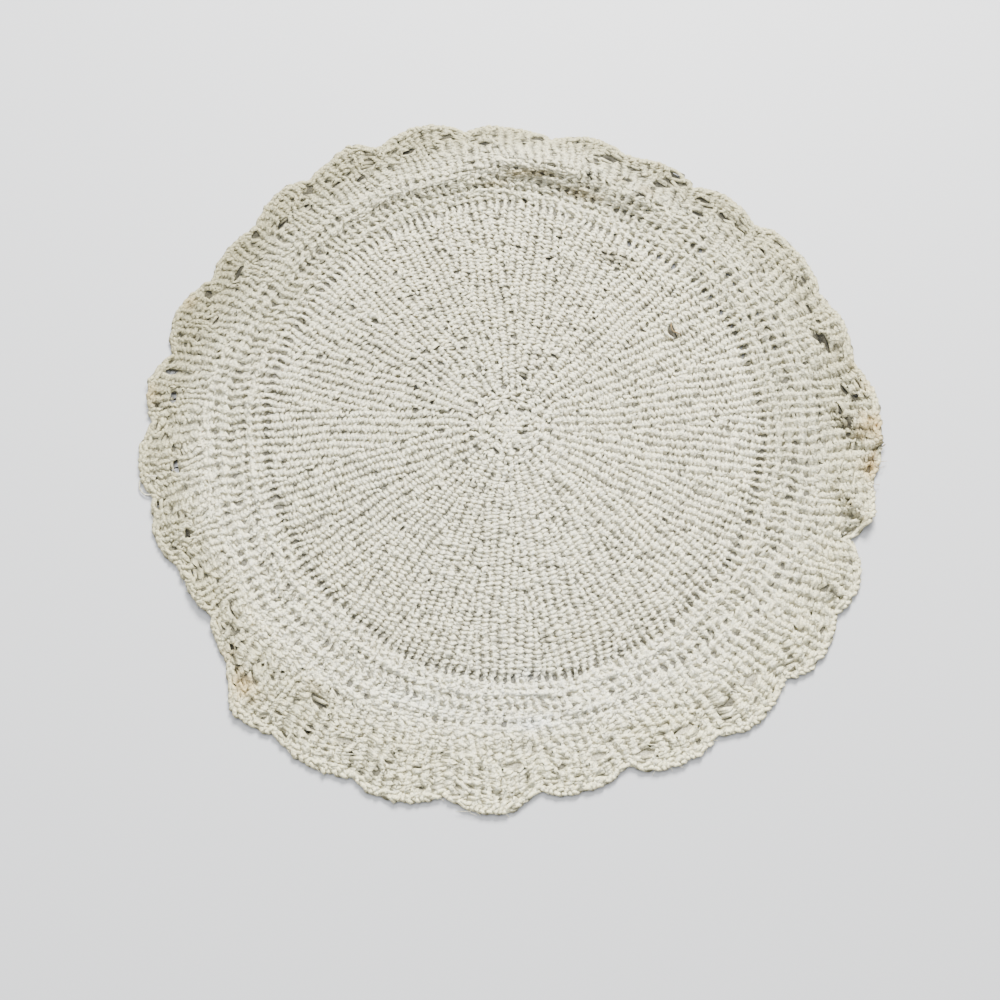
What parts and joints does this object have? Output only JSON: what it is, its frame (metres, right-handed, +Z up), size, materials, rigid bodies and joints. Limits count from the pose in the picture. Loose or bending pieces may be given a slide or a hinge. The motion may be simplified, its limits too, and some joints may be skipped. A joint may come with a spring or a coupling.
{
  "type": "knitted doily",
  "caption": "Round off-white cotton doily, knitted in garter wedges with an openwork ring and a wide scalloped lace border, lying flat with creases.",
  "frame": {"origin": "centre of the knitted disc, on the face that rests on the table", "axes": "+Z up out of the cloth, +Y towards the part of the border that is rolled over the mesh, +X towards the stained flap"},
  "size_m": [0.224, 0.2219, 0.0063],
  "materials": {
    "cotton_knit": "washed unbleached cotton yarn, matt"
  },
  "bodies": {
    "root": {"doily": "cotton_knit"}
  },
  "joints": []
}
